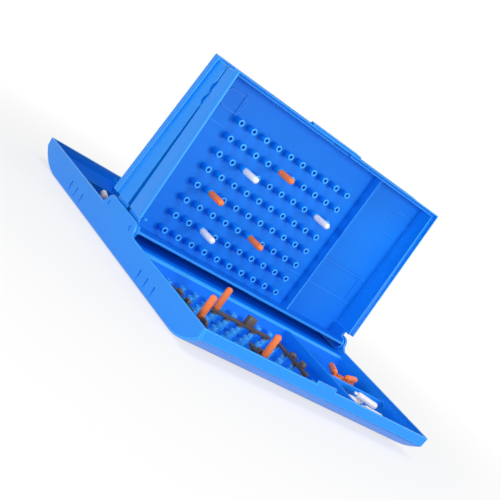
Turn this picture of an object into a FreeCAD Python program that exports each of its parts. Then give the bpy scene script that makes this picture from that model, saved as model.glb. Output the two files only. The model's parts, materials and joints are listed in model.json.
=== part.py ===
"""Fleet guessing case: a shallow two-player game case that stands open.

One base moulding holds a tray for each player, back to back about a low spine.
Two box lids turn on pins in a raised plate at each end of the base.  Open, they
stand back to back as a screen; closed, each covers its own player's tray.
Every sea square is a stud; those in use are drilled for a pin here.

Frame, in millimetres: +X along the trays, +Y from the near player to the far
one, +Z up, origin at the middle of the base's underside.
"""
import FreeCAD, Part
import math
import os

Vec = FreeCAD.Vector
os.makedirs("parts", exist_ok=True)

# ---- base moulding ----
case_length = 200.0        # X, along a tray
case_depth = 254.0         # Y, both trays
base_height = 17.3         # table to rim
front_wall_height = 6.4    # upright part of the front wall, below the rim
sweep_length = 28.0        # run over which the underside curves up to that wall
end_draft = 2.0            # each end leans in by this much from rim to underside
base_wall = 1.8
base_floor = 1.7
lower_edge_chamfer = 0.9   # round the underside and up the corners

spine_half_width = 28.5    # at its top
spine_foot_half_width = 35.0
spine_top = 14.0
spine_blend = 5.0          # radius at shoulder and foot
spine_end_web = 4.0        # solid left at each end of the hollow under the spine

# ---- sea grid ----
columns = 10
pitch = 11.33
lid_stud_radius = 2.35     # to its corners
lid_stud_side_count = 6
lid_stud_turn = 30.0       # degrees, its flats to the columns
tray_stud_half = 2.1       # half width of a tray's square stud
grid_end_margin = 19.5     # end of the case to the first column
grid_front_margin = 10.3   # front wall to the first row
tray_stud_top = 8.3
tray_socket_depth = 3.4
ship_pin_half = 1.3        # half width of a ship's square pins
peg_pin_half = 0.85        # half width of a peg's square pin
socket_clearance = 0.05    # each side of a pin in its socket
seat_gap = 0.05            # under a seated shoulder

# ---- walls of the peg store ----
divider_gap = 18.5         # last column of studs to the wall between sea and store
divider_top = 13.8
divider_dip = 1.0          # by which its top falls towards the spine
divider_blend = 4.0        # radius where it starts to fall
front_pocket_depth = 46.5  # front wall to the wall between the store's two pockets
cross_wall_top = 13.2
store_wall = 1.8

# ---- hinge ----
hinge_y = 17.2             # distance of each axis from the middle
hinge_rise = 2.45          # above the rim
hinge_pin_radius = 1.6
hinge_clearance = 0.05
hinge_cheek_radius = 5.0   # end of the lid's side wall, round the axis
hinge_cheek_side_count = 12
plate_end_radius = 5.4     # round ends of the raised plate that carries both axes
plate_foot = 3.0           # run of each end's slope down to the rim
hinge_pin_inset = 0.4      # pin end below the plate's outer face
rest_angle = 93.18         # from closed to the rest pose

# ---- lids ----
lid_wall = 1.6
lid_floor = 1.6
lid_hinge_depth = 19.97    # rim to outer panel, at the axis
lid_wedge = 2.38           # degrees: the panel comes nearer the rim at the free edge
rim_overlap = 2.5          # lip below the base rim when closed
rim_gap = 0.25
lip_thickness = 0.95
flange_depth = 6.0
lid_shoulder = 8.6         # axis to the start of the full-width part
neck_clearance = 0.6       # narrow end of the lid to the base's end wall
neck_overhang = 0.2        # its end wall beyond the axis
lid_side_draft = 1.0
lid_edge_radius = 1.5
lid_grid_end_margin = 26.1   # end of the case to the first column
lid_grid_edge_margin = 22.4  # free edge's wall to the first row
lid_grid_hinge_margin = 5.0  # last row to the axis, at least
lid_stud_height = 7.0
lid_socket_depth = 4.2
lid_rib_gap = 17.3         # last column to the rib
lid_rib_height = 7.0
lid_rib_thickness = 1.6
recess_depth = 0.4         # shallow panels in the lid's floor
recess_margin = 1.5        # to the nearest studs
recess_end_margin = 8.0    # to the end wall
side_recess = (27.0, 46.0)   # from the axis, beside the rib
end_recess = (84.0, 103.0)   # from the axis, in the corner beside the first column
finger_lip = (-34.0, 13.0)   # X range of the pull on the free edge
finger_lip_size = 1.4
finger_lip_toe = 0.6       # slope of its underside
finger_lip_heel = 1.5      # slope of its top
catch_range = (-10.0, 6.5)   # X range of the catch on the base's front rim
catch_rise = 2.2
catch_root = 2.0           # below the rim
catch_setback = 0.4        # thinner than the wall by this
catch_clearance = 0.7
scallop_radius = 7.0       # finger dents on the panel's long edges
scallop_depth = 1.3
scallop_places = (95.4, 86.4)
scallop_reach = 2.6

# ---- grip grooves outside the ends ----
groove_spacing = 10.0
groove_count = 3
groove_middle = 60.0
groove_height = 6.4
groove_low = 2.6
groove_width = 1.2
groove_depth = 0.5

# ---- ships ----
deck_top = 11.3
deck_thickness = 1.8
hull_half_width = 2.1
hull_overhang = 3.9        # beyond the centre of an end cell
ship_pin_length = 3.35     # below the stud's top
hull_bow_length = 3.2      # of the pointed bow
hull_stern_length = 1.2    # of the cut corners at the stern
hull_stern_share = 0.7     # of the half width left at the stern
cabin_bulge_share = 0.08   # of a cabin's length, how far its front leans out
cabin_bulge_level = 0.45   # of its height
turret_radius = 2.1
turret_side_count = 6
turret_height = 2.6
barrel_length = 4.6        # from the turret's middle
barrel_half = 0.5
barrel_drop = 1.5          # underside below the turret's top
barrel_rise = 0.6          # top below the turret's top

# ---- pegs ----
peg_radius = 2.05          # to its corners
peg_side_count = 6
peg_length = 15.6
peg_tip = 1.1              # length of the tapered end
peg_tip_share = 0.55       # of the radius left at the tip
peg_pin_length = 2.4
peg_pin_play = 0.2         # under a seated pin
peg_roll = 30.0            # degrees, so that a lying peg rests on a flat
store_gap = 0.25           # between pegs that lie in the store

overlap = 0.3              # by which joined pieces run into each other
over = 10.0                # by which a cutting piece runs past what it cuts
hair = 0.01                # the same place, to within this

half_length = case_length / 2
half_depth = case_depth / 2
sweep_radius = (sweep_length ** 2 + (base_height - front_wall_height) ** 2) / (
    2 * (base_height - front_wall_height))
hinge_z = base_height + hinge_rise
lid_rim_z = base_height - rim_overlap
tray_first_column = grid_end_margin - half_length
tray_first_row = grid_front_margin - half_depth
divider_x = tray_first_column + pitch * (columns - 1) + divider_gap
cross_wall_y = front_pocket_depth - half_depth
lid_outer_half = half_length + rim_gap + lip_thickness
lid_free_edge = half_depth - hinge_y + rim_gap + lip_thickness
lid_front_wall = half_depth - hinge_y
lid_first_column = lid_grid_end_margin - half_length
lid_first_row = lid_front_wall - lid_grid_edge_margin
rows = int((lid_first_row - lid_grid_hinge_margin) / pitch) + 1
lid_rib_x = lid_first_column + pitch * (columns - 1) + lid_rib_gap
neck_half = half_length - base_wall - neck_clearance


def box(x0, x1, y0, y1, z0, z1):
    return Part.makeBox(x1 - x0, y1 - y0, z1 - z0, Vec(x0, y0, z0))


def rounded_face(points, radii, place):
    """Face of a polygon whose corners carry tangent arcs; place maps (a, b) to space."""
    count = len(points)
    edges = []
    ends = []
    for i in range(count):
        corner = points[i]
        before = points[i - 1]
        after = points[(i + 1) % count]
        radius = radii[i]
        to_before = (before[0] - corner[0], before[1] - corner[1])
        to_after = (after[0] - corner[0], after[1] - corner[1])
        length_before = math.hypot(*to_before)
        length_after = math.hypot(*to_after)
        unit_before = (to_before[0] / length_before, to_before[1] / length_before)
        unit_after = (to_after[0] / length_after, to_after[1] / length_after)
        cosine = unit_before[0] * unit_after[0] + unit_before[1] * unit_after[1]
        half_angle = math.acos(max(-1.0, min(1.0, cosine))) / 2
        if radius <= 0:
            ends.append((corner, None, corner))
            continue
        cut = radius / math.tan(half_angle)
        start = (corner[0] + unit_before[0] * cut, corner[1] + unit_before[1] * cut)
        stop = (corner[0] + unit_after[0] * cut, corner[1] + unit_after[1] * cut)
        bisector = (unit_before[0] + unit_after[0], unit_before[1] + unit_after[1])
        size = math.hypot(*bisector)
        reach = radius / math.sin(half_angle) - radius
        middle = (corner[0] + bisector[0] / size * reach, corner[1] + bisector[1] / size * reach)
        ends.append((start, middle, stop))
    for i in range(count):
        start, middle, stop = ends[i]
        if middle is not None:
            edges.append(Part.Arc(place(*start), place(*middle), place(*stop)).toShape())
        following = ends[(i + 1) % count][0]
        if math.dist(stop, following) > 1e-6:
            edges.append(Part.makeLine(place(*stop), place(*following)))
    return Part.Face(Part.Wire(edges))


def along_x(points, x0, x1, radii=None):
    """Prism along X over a (y, z) outline."""
    radii = radii or [0] * len(points)
    face = rounded_face(points, radii, lambda a, b: Vec(x0, a, b))
    return face.extrude(Vec(x1 - x0, 0, 0))


def along_y(points, y0, y1):
    """Prism along Y over an (x, z) outline."""
    face = rounded_face(points, [0] * len(points), lambda a, b: Vec(a, y0, b))
    return face.extrude(Vec(0, y1 - y0, 0))


def along_z(points, z0, z1, radii=None):
    """Prism along Z over an (x, y) outline."""
    radii = radii or [0] * len(points)
    face = rounded_face(points, radii, lambda a, b: Vec(a, b, z0))
    return face.extrude(Vec(0, 0, z1 - z0))


def polygon_prism(radius, sides, x, y, z0, z1, turn=0.0):
    points = []
    for i in range(sides):
        angle = math.radians(turn) + 2 * math.pi * i / sides
        points.append((x + radius * math.cos(angle), y + radius * math.sin(angle)))
    return along_z(points, z0, z1)


def square_prism(half, x, y, z0, z1):
    return box(x - half, x + half, y - half, y + half, z0, z1)


def far_side(shape):
    """The far player's copy: half a turn about the middle of the case."""
    copy = shape.copy()
    copy.rotate(Vec(0, 0, 0), Vec(0, 0, 1), 180)
    return copy


def opened(shape):
    """Turn a near-lid piece from closed to the rest pose."""
    copy = shape.copy()
    copy.rotate(Vec(0, -hinge_y, hinge_z), Vec(1, 0, 0), -rest_angle)
    return copy


# ------------------------------------------------------------------ base

def side_outline(side, under, top, with_spine):
    """(y, z) outline of the tray section, set in by a wall and a floor.

    The underside is flat, then an arc up to the upright front wall.
    """
    edges = []
    wall_y = half_depth - side
    flat_y = half_depth - sweep_length
    radius = sweep_radius - under
    meet_z = sweep_radius - math.sqrt(radius ** 2 - (wall_y - flat_y) ** 2)
    half_turn = math.asin((wall_y - flat_y) / radius) / 2
    middle_y = flat_y + radius * math.sin(half_turn)
    middle_z = sweep_radius - radius * math.cos(half_turn)

    def at(y, z):
        return Vec(0, y, z)

    edges.append(Part.makeLine(at(-wall_y, top), at(-wall_y, meet_z)))
    edges.append(Part.Arc(at(-wall_y, meet_z), at(-middle_y, middle_z), at(-flat_y, under)).toShape())
    if with_spine:
        edges.extend(spine_edges(flat_y, under, at))
    else:
        edges.append(Part.makeLine(at(-flat_y, under), at(flat_y, under)))
    edges.append(Part.Arc(at(flat_y, under), at(middle_y, middle_z), at(wall_y, meet_z)).toShape())
    edges.append(Part.makeLine(at(wall_y, meet_z), at(wall_y, top)))
    edges.append(Part.makeLine(at(wall_y, top), at(-wall_y, top)))
    return Part.Face(Part.Wire(edges))


def spine_edges(flat_y, under, at):
    """Floor line that climbs over the spine, with a tangent arc at each bend."""
    run = spine_foot_half_width - spine_half_width
    climb = spine_top - under
    slope = math.atan2(climb, run)
    cut = spine_blend * math.tan(slope / 2)
    foot = (spine_foot_half_width, under)
    shoulder = (spine_half_width, spine_top)
    lean = (math.cos(slope), math.sin(slope))
    foot_flat = (foot[0] + cut, under)
    foot_up = (foot[0] - lean[0] * cut, under + lean[1] * cut)
    shoulder_up = (shoulder[0] + lean[0] * cut, shoulder[1] - lean[1] * cut)
    shoulder_flat = (shoulder[0] - cut, spine_top)
    half = slope / 2
    foot_middle = (foot_flat[0] - spine_blend * math.sin(half), under + spine_blend * (1 - math.cos(half)))
    shoulder_middle = (shoulder_flat[0] + spine_blend * math.sin(half),
                       spine_top - spine_blend * (1 - math.cos(half)))
    edges = [Part.makeLine(at(-flat_y, under), at(-foot_flat[0], foot_flat[1]))]
    edges.append(Part.Arc(at(-foot_flat[0], foot_flat[1]), at(-foot_middle[0], foot_middle[1]),
                          at(-foot_up[0], foot_up[1])).toShape())
    edges.append(Part.makeLine(at(-foot_up[0], foot_up[1]), at(-shoulder_up[0], shoulder_up[1])))
    edges.append(Part.Arc(at(-shoulder_up[0], shoulder_up[1]), at(-shoulder_middle[0], shoulder_middle[1]),
                          at(-shoulder_flat[0], shoulder_flat[1])).toShape())
    edges.append(Part.makeLine(at(-shoulder_flat[0], spine_top), at(shoulder_flat[0], spine_top)))
    edges.append(Part.Arc(at(*shoulder_flat), at(*shoulder_middle), at(*shoulder_up)).toShape())
    edges.append(Part.makeLine(at(*shoulder_up), at(*foot_up)))
    edges.append(Part.Arc(at(*foot_up), at(*foot_middle), at(*foot_flat)).toShape())
    edges.append(Part.makeLine(at(*foot_flat), at(flat_y, under)))
    return edges


def end_taper(inset, top):
    """Prism across the case whose ends lean in towards the table."""
    rise = top / base_height
    low = half_length - inset - end_draft
    high = low + end_draft * rise
    deep = half_depth + over
    return along_y([(-high, top), (high, top), (low, 0), (-low, 0)], -deep, deep)


def base_outside():
    body = side_outline(0, 0, base_height, False).extrude(Vec(case_length + 2 * over, 0, 0))
    body.translate(Vec(-half_length - over, 0, 0))
    body = body.common(end_taper(0, base_height))
    rounded = [edge for edge in body.Edges if is_lower_edge(edge)]
    return body.makeChamfer(lower_edge_chamfer, rounded)


def is_lower_edge(edge):
    """Edges between an end face and the front wall, sweep or underside."""
    centre = edge.CenterOfMass
    spans_length = edge.BoundBox.XLength > case_length / 2
    at_rim = edge.BoundBox.ZMin > base_height - hair
    return not spans_length and not at_rim and abs(centre.x) > half_length / 2


def hinge_plate(side):
    """Raised part of an end wall between and round the two hinge axes."""
    radius = plate_end_radius
    top = hinge_z + radius
    outer = hinge_y + radius
    outline = [(-outer - plate_foot, base_height), (-outer, hinge_z), (-outer, top), (outer, top),
               (outer, hinge_z), (outer + plate_foot, base_height)]
    radii = [0, 0, radius, radius, 0, 0]
    x0, x1 = sorted((side * (half_length - base_wall), side * half_length))
    return along_x(outline, x0, x1, radii)


def hinge_bores():
    bores = []
    radius = hinge_pin_radius + hinge_clearance
    for y in (-hinge_y, hinge_y):
        start = Vec(-half_length - over, y, hinge_z)
        bores.append(Part.makeCylinder(radius, case_length + 2 * over, start, Vec(1, 0, 0)))
    return bores


def under_spine():
    """Hollow under the spine, open to the table."""
    reach = half_length - spine_end_web
    inset = base_wall
    foot = spine_foot_half_width - inset
    crown = spine_half_width - inset
    top = spine_top - inset
    outline = [(-foot, -overlap), (foot, -overlap), (crown, top), (-crown, top)]
    return along_x(outline, -reach, reach, [0, 0, spine_blend - inset, spine_blend - inset])


def store_walls():
    """Divider and cross wall of the near player's peg store."""
    inner_end = half_length - base_wall / 2
    back = -spine_half_width
    front = -half_depth + base_wall / 2
    half = store_wall / 2
    outline = [(front, 0), (back, 0), (back, divider_top - divider_dip),
               (-spine_foot_half_width, divider_top), (front, divider_top)]
    divider = along_x(outline, divider_x - half, divider_x + half, [0, 0, 0, divider_blend, 0])
    cross = box(divider_x, inner_end, cross_wall_y - half, cross_wall_y + half, 0, cross_wall_top)
    return [divider, cross]


def tray_places():
    return [[(tray_first_column + pitch * i, tray_first_row + pitch * j) for j in range(rows)]
            for i in range(columns)]


def tray_studs():
    studs = []
    for column in tray_places():
        for x, y in column:
            studs.append(square_prism(tray_stud_half, x, y, base_floor / 2, tray_stud_top))
    return studs


def front_catch():
    low, high = catch_range
    inner = -half_depth + base_wall - catch_setback
    return box(low, high, -half_depth, inner, base_height - catch_root, base_height + catch_rise)


def grip_grooves():
    cuts = []
    for side in (-1, 1):
        for centre in (-groove_middle, groove_middle):
            for i in range(groove_count):
                y = centre + (i - (groove_count - 1) / 2) * groove_spacing
                z0 = groove_low
                z1 = groove_low + groove_height
                slope = end_draft / base_height
                face_x = half_length - end_draft + slope * (z0 + z1) / 2
                groove = box(face_x - groove_depth, face_x + over, y - groove_width / 2,
                             y + groove_width / 2, z0, z1)
                if side < 0:
                    groove = groove.mirror(Vec(0, 0, 0), Vec(1, 0, 0))
                cuts.append(groove)
    return cuts


def make_base(sockets):
    outside = base_outside()
    hollow = side_outline(base_wall, base_floor, base_height + over, True)
    hollow = hollow.extrude(Vec(case_length + 2 * over, 0, 0))
    hollow.translate(Vec(-half_length - over, 0, 0))
    hollow = hollow.common(end_taper(base_wall, base_height + over))
    shell = outside.cut(hollow)
    near = store_walls() + tray_studs()
    inside = near + [far_side(shape) for shape in near]
    trimmed = Part.makeCompound(inside).common(outside)
    shell = shell.fuse(trimmed.Solids)
    catches = [front_catch(), far_side(front_catch())]
    shell = shell.fuse([hinge_plate(-1), hinge_plate(1)] + catches)
    cuts = hinge_bores() + [under_spine()] + grip_grooves() + sockets
    return shell.cut(cuts).removeSplitter()


# ------------------------------------------------------------------ lids

def panel_height(u):
    """Rim to the outer panel at distance u from the axis."""
    return lid_hinge_depth - u * math.tan(math.radians(lid_wedge))


def lid_prism(outline, x0, x1, radii=None):
    """Prism over points (u, w): u from the axis to the free edge, w up from the rim."""
    points = [(-hinge_y - u, lid_rim_z + w) for u, w in outline]
    return along_x(points, x0, x1, radii)


def lid_block(u0, u1, w0, half, sink=0.0, radii=None):
    """Part of the lid's section from w0 to the panel, sink below its outer face."""
    outline = [(u0, w0), (u1, w0), (u1, panel_height(u1) - sink), (u0, panel_height(u0) - sink)]
    return lid_prism(outline, -half, half, radii)


def side_draft(half):
    """Prism across the lid whose sides lean in from the rim to the panel."""
    top = lid_hinge_depth + over
    inset = lid_side_draft * top / lid_hinge_depth
    low = lid_rim_z - over
    points = [(-half, low), (half, low), (half, lid_rim_z), (half - inset, lid_rim_z + top),
              (-half + inset, lid_rim_z + top), (-half, lid_rim_z)]
    return along_y(points, -half_depth - over, over)


def lid_outside():
    edge = lid_edge_radius
    wide = lid_block(lid_shoulder, lid_front_wall, 0, half_length, 0, [0, 0, edge, 0])
    wide = wide.common(side_draft(half_length))
    neck = lid_block(-neck_overhang, lid_shoulder + 2 * lid_wall, 0, neck_half, 0, [0, 0, 0, edge])
    lip = lid_prism([(lid_shoulder, 0), (lid_free_edge, 0), (lid_free_edge, flange_depth),
                     (lid_shoulder, flange_depth)], -lid_outer_half, lid_outer_half)
    return wide.fuse([neck, lip])


def lid_hollow():
    inner_half = half_length - lid_wall
    start = lid_shoulder + lid_wall
    main = lid_block(start, lid_front_wall - lid_wall, -over, inner_half, lid_floor)
    main = main.common(side_draft(inner_half))
    neck = lid_block(lid_wall, start + overlap, -over, neck_half - lid_wall, lid_floor)
    seat = half_length + rim_gap
    ledge = rim_overlap + rim_gap
    rebate = lid_prism([(start, -over), (lid_front_wall + rim_gap, -over), (lid_front_wall + rim_gap, ledge),
                        (start, ledge)], -seat, seat)
    strips = []
    for side in (-1, 1):
        x0, x1 = sorted((side * neck_half, side * seat))
        strips.append(lid_prism([(lid_shoulder - overlap, -over), (start + overlap, -over),
                                 (start + overlap, ledge), (lid_shoulder - overlap, ledge)], x0, x1))
    return [main, neck, rebate] + strips


def cheek_reliefs():
    """Cuts that end the narrow part's side walls at the height of the axis."""
    high = hinge_z - lid_rim_z
    outline = [(lid_wall, -over), (lid_shoulder, -over), (lid_shoulder, high), (lid_wall, high)]
    inner = neck_half - lid_wall - overlap
    return [lid_prism(outline, inner, neck_half + overlap), lid_prism(outline, -neck_half - overlap, -inner)]


def hinge_pins():
    """Each side wall's round cheek, with the pin that stands out of it."""
    pins = []
    cheek = []
    for i in range(hinge_cheek_side_count):
        angle = 2 * math.pi * i / hinge_cheek_side_count
        cheek.append((hinge_cheek_radius * math.cos(angle),
                      hinge_z - lid_rim_z + hinge_cheek_radius * math.sin(angle)))
    for side in (-1, 1):
        x0, x1 = sorted((side * (neck_half - lid_wall), side * neck_half))
        pins.append(lid_prism(cheek, x0, x1))
        start = Vec(side * (neck_half - lid_wall / 2), -hinge_y, hinge_z)
        length = half_length - hinge_pin_inset - neck_half + lid_wall / 2
        pins.append(Part.makeCylinder(hinge_pin_radius, length, start, Vec(side, 0, 0)))
    return pins


def catch_notch():
    low, high = catch_range
    inner = lid_front_wall - lid_wall - overlap
    outer = lid_front_wall + rim_gap
    top = rim_overlap + catch_rise + catch_clearance
    return lid_prism([(inner, -over), (outer, -over), (outer, top), (inner, top)],
                     low - catch_clearance, high + catch_clearance)


def finger_pull():
    low, high = finger_lip
    root = lid_free_edge - overlap
    out = lid_free_edge + finger_lip_size
    return lid_prism([(root, 0), (out, finger_lip_toe), (out, flange_depth - finger_lip_heel),
                      (root, flange_depth)], low, high)


def finger_dents():
    dents = []
    for side in (-1, 1):
        for u in scallop_places:
            w = panel_height(u) + scallop_radius - scallop_depth
            start = Vec(side * (half_length - scallop_reach), -hinge_y - u, lid_rim_z + w)
            dents.append(Part.makeCylinder(scallop_radius, over, start, Vec(side, 0, 0)))
    return dents


def on_panel(shape):
    """Put a piece built up from z = 0 at (u, 0) on the lid's inner floor, closed pose.

    The piece's own +Z becomes the way out of the lid, square to the panel.
    """
    copy = shape.copy()
    copy.rotate(Vec(0, 0, 0), Vec(1, 0, 0), 180)
    copy.rotate(Vec(0, 0, 0), Vec(1, 0, 0), lid_wedge)
    copy.translate(Vec(0, -hinge_y, lid_rim_z + lid_hinge_depth - lid_floor))
    return copy


def lid_place(column, row):
    """Local x, y of a stud before on_panel; rows count from the free edge."""
    u = lid_first_row - pitch * row
    return lid_first_column + pitch * column, u / math.cos(math.radians(lid_wedge))


def lid_studs(drilled):
    """All studs of the target grid; drilled lists the (column, row) of those in use."""
    half = peg_pin_half + socket_clearance
    studs = []
    for column in range(columns):
        for row in range(rows):
            x, y = lid_place(column, row)
            stud = polygon_prism(lid_stud_radius, lid_stud_side_count, x, y, -lid_floor / 2, lid_stud_height,
                                 lid_stud_turn)
            if (column, row) in drilled:
                socket = square_prism(half, x, y, lid_stud_height - lid_socket_depth, lid_stud_height + over)
                stud = stud.cut(socket)
            studs.append(on_panel(stud))
    return studs


def lid_rib():
    low = lid_wall / 2
    high = lid_front_wall - lid_wall / 2
    half = lid_rib_thickness / 2
    depth = lid_floor + lid_rib_height
    root = lid_floor / 2
    outline = [(low, panel_height(low) - depth), (high, panel_height(high) - depth),
               (high, panel_height(high) - root), (low, panel_height(low) - root)]
    return lid_prism(outline, lid_rib_x - half, lid_rib_x + half)


def floor_recesses():
    """Shallow panels: one beside the rib, one in the other side's corner."""
    rib_side = lid_rib_x + lid_rib_thickness / 2
    wall_side = half_length - lid_wall - lid_side_draft
    beside_rib = (side_recess, rib_side, wall_side - recess_end_margin)
    beside_grid = (end_recess, -wall_side, lid_first_column - lid_stud_radius - recess_margin)
    cuts = []
    for (start, end), x0, x1 in (beside_rib, beside_grid):
        sink = lid_floor - recess_depth
        over_floor = lid_floor + overlap
        outline = [(start, panel_height(start) - over_floor), (end, panel_height(end) - over_floor),
                   (end, panel_height(end) - sink), (start, panel_height(start) - sink)]
        cuts.append(lid_prism(outline, x0, x1))
    return cuts


def make_lid(drilled):
    """The near lid in its closed pose."""
    shell = lid_outside().cut(lid_hollow() + cheek_reliefs())
    shell = shell.fuse(hinge_pins() + [finger_pull(), lid_rib()])
    shell = shell.cut([catch_notch()] + floor_recesses() + finger_dents())
    return shell.fuse(lid_studs(drilled)).removeSplitter()


# ------------------------------------------------------------------ ships

ship_cells = {"carrier": 5, "battleship": 4, "cruiser": 3, "submarine": 3, "destroyer": 2}
# place of each ship's cabin in cells from its first hole, its length, width, height and shift sideways
cabins = {"carrier": (2.5, 6.4, 3.4, 6.0, 0.6), "battleship": (2.5, 4.2, 2.6, 3.2, 0.0),
          "cruiser": (1.5, 4.0, 2.4, 2.6, 0.0), "submarine": (0.5, 5.0, 1.8, 2.8, 0.0),
          "destroyer": (0.5, 3.6, 2.4, 2.2, 0.0)}
turrets = {"battleship": 1.5, "cruiser": 0.5}   # place in cells


def hull(cells):
    """Deck bar for a row of cells along +X, first cell at x = 0."""
    stern = -hull_overhang
    bow = (cells - 1) * pitch + hull_overhang
    beam = hull_half_width
    shoulder = bow - hull_bow_length
    quarter = stern + hull_stern_length
    transom = beam * hull_stern_share
    outline = [(stern, -transom), (quarter, -beam), (shoulder, -beam), (bow, 0), (shoulder, beam),
               (quarter, beam), (stern, transom)]
    return along_z(outline, deck_top - deck_thickness, deck_top)


def pins(cells):
    foot = tray_stud_top - ship_pin_length
    top = deck_top - deck_thickness + overlap
    return [square_prism(ship_pin_half, i * pitch, 0, foot, top) for i in range(cells)]


def peg_holes(cells):
    half = peg_pin_half + socket_clearance
    depth = peg_pin_length + peg_pin_play
    return [square_prism(half, i * pitch, 0, deck_top - depth, deck_top + over) for i in range(cells)]


def cabin(place, length, width, height, shift):
    x = pitch * place
    front = x + length / 2
    back = x - length / 2
    top = deck_top + height
    brow = (front + length * cabin_bulge_share, deck_top + height * cabin_bulge_level)
    outline = [(back, deck_top - overlap), (front, deck_top - overlap), brow, (front, top), (back, top)]
    return along_y(outline, shift - width / 2, shift + width / 2)


def turret(place):
    x = pitch * place
    top = deck_top + turret_height
    drum = polygon_prism(turret_radius, turret_side_count, x, 0, deck_top - overlap, top)
    barrel = box(x, x + barrel_length, -barrel_half, barrel_half, top - barrel_drop, top - barrel_rise)
    return [drum, barrel]


def ship(name):
    cells = ship_cells[name]
    works = [cabin(*cabins[name])]
    if name in turrets:
        works.extend(turret(turrets[name]))
    body = hull(cells).fuse(pins(cells) + works)
    return body.cut(peg_holes(cells)).removeSplitter()


# column, row and heading of each ship's first cell; a heading of -1 runs towards
# the front wall, 1 runs along +X
near_fleet = {"carrier": (3, 5, 1), "battleship": (8, 5, -1), "cruiser": (0, 5, -1),
              "submarine": (0, 2, -1), "destroyer": (4, 2, -1)}
far_fleet = {"carrier": (2, 2, 1), "battleship": (9, 6, -1), "cruiser": (0, 6, -1),
             "submarine": (4, 6, 1), "destroyer": (7, 4, -1)}


def tray_xy(column, row):
    return tray_first_column + pitch * column, tray_first_row + pitch * row


def cell_of(fleet, name, index):
    column, row, heading = fleet[name]
    if heading > 0:
        return column + index, row
    return column, row - index


def place_ship(fleet, name):
    column, row, heading = fleet[name]
    shape = ship(name)
    if heading < 0:
        shape.rotate(Vec(0, 0, 0), Vec(0, 0, 1), -90)
    x, y = tray_xy(column, row)
    shape.translate(Vec(x, y, 0))
    return shape


def fleet_sockets(fleet):
    """Sockets in the studs that a fleet's pins stand in."""
    half = ship_pin_half + socket_clearance
    cuts = []
    for name, cells in ship_cells.items():
        for index in range(cells):
            x, y = tray_xy(*cell_of(fleet, name, index))
            cuts.append(square_prism(half, x, y, tray_stud_top - tray_socket_depth, tray_stud_top + over))
    return cuts


# ------------------------------------------------------------------ pegs

def peg():
    """Marker peg standing on z = 0, with its pin below."""
    levels = [(0, peg_radius), (peg_length - peg_tip, peg_radius), (peg_length, peg_radius * peg_tip_share)]
    rings = [peg_ring(radius, z) for z, radius in levels]
    faces = [Part.Face(Part.makePolygon(ring + ring[:1])) for ring in (rings[0], rings[-1])]
    for lower, upper in zip(rings, rings[1:]):
        for i in range(peg_side_count):
            j = (i + 1) % peg_side_count
            faces.append(Part.Face(Part.makePolygon([lower[i], lower[j], upper[j], upper[i], lower[i]])))
    shaft = Part.Solid(Part.Shell(faces))
    if shaft.Volume < 0:
        shaft.reverse()
    pin = square_prism(peg_pin_half, 0, 0, -peg_pin_length, overlap)
    return shaft.fuse(pin).removeSplitter()


def peg_ring(radius, z):
    angles = [2 * math.pi * i / peg_side_count for i in range(peg_side_count)]
    return [Vec(radius * math.cos(angle), radius * math.sin(angle), z) for angle in angles]


def target_peg(column, row):
    """A peg in a stud of the near lid, closed pose."""
    shape = peg()
    x, y = lid_place(column, row)
    shape.translate(Vec(x, y, lid_stud_height + seat_gap))
    return on_panel(shape)


def hit_peg(fleet, name, index):
    """A peg standing in a ship."""
    x, y = tray_xy(*cell_of(fleet, name, index))
    shape = peg()
    shape.translate(Vec(x, y, deck_top + seat_gap))
    return shape


def lying_peg(pocket, x, y, layer, turn):
    """A peg on its side, its middle at x, y from the pocket's middle."""
    shape = peg()
    shape.translate(Vec(0, 0, -(peg_length - peg_pin_length) / 2))
    shape.rotate(Vec(0, 0, 0), Vec(0, 0, 1), peg_roll)
    shape.rotate(Vec(0, 0, 0), Vec(0, 1, 0), 90)
    shape.rotate(Vec(0, 0, 0), Vec(0, 0, 1), turn)
    rest = base_floor + store_gap + peg_radius
    lift = rest + layer * (2 * peg_radius + store_gap)
    shape.translate(Vec(pocket[0] + x, pocket[1] + y, lift))
    return shape


store_middle_x = (divider_x + half_length - base_wall) / 2
back_pocket = (store_middle_x, (cross_wall_y - spine_foot_half_width) / 2)
front_pocket = (store_middle_x, (cross_wall_y - half_depth + sweep_length / 2) / 2)

# x and y from the pocket's middle, layer and turn of each peg in a heap
near_back_heap = [(-12.0, -7.5, 0, 92), (-4.0, -6.5, 0, 84), (4.5, -7.5, 0, 95), (12.5, -6.5, 0, 88),
                  (-6.0, -9.5, 1, 8), (8.0, -3.0, 1, -12), (-9.0, -6.0, 2, 62), (7.5, -8.0, 2, 22)]
near_front_heap = [(-11.0, 3.0, 0, 90), (-2.0, 2.0, 0, 80), (7.0, 3.5, 0, 96), (-7.0, 5.5, 1, 4),
                   (6.0, -1.5, 1, -14), (-1.0, 2.5, 2, -26)]
far_back_heap = [(3.0, -7.0, 0, 88), (12.0, -6.0, 0, 95), (8.5, -10.0, 1, 6), (9.0, -5.0, 2, 70)]
far_front_heap = [(-4.0, 2.0, 0, 84), (5.0, 3.0, 0, 97), (1.0, 4.0, 1, 10)]


# ------------------------------------------------------------------ assembly

near_targets = {"orange": [(4, 1), (1, 4), (5, 5)], "white": [(2, 2), (2, 6), (8, 2)]}
far_targets = {"orange": [(6, 3), (6, 4)], "white": [(8, 1), (2, 5)]}
near_hits = [("submarine", 0), ("carrier", 0), ("destroyer", 1)]
far_hits = [("battleship", 1), ("carrier", 1)]

nodes = {}
nodes["base"] = make_base(fleet_sockets(near_fleet) + [far_side(cut) for cut in fleet_sockets(far_fleet)])
nodes["near_lid"] = opened(make_lid(near_targets["orange"] + near_targets["white"]))
nodes["far_lid"] = far_side(opened(make_lid(far_targets["orange"] + far_targets["white"])))

for name in ship_cells:
    nodes["near_" + name] = place_ship(near_fleet, name)
    nodes["far_" + name] = far_side(place_ship(far_fleet, name))

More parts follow.
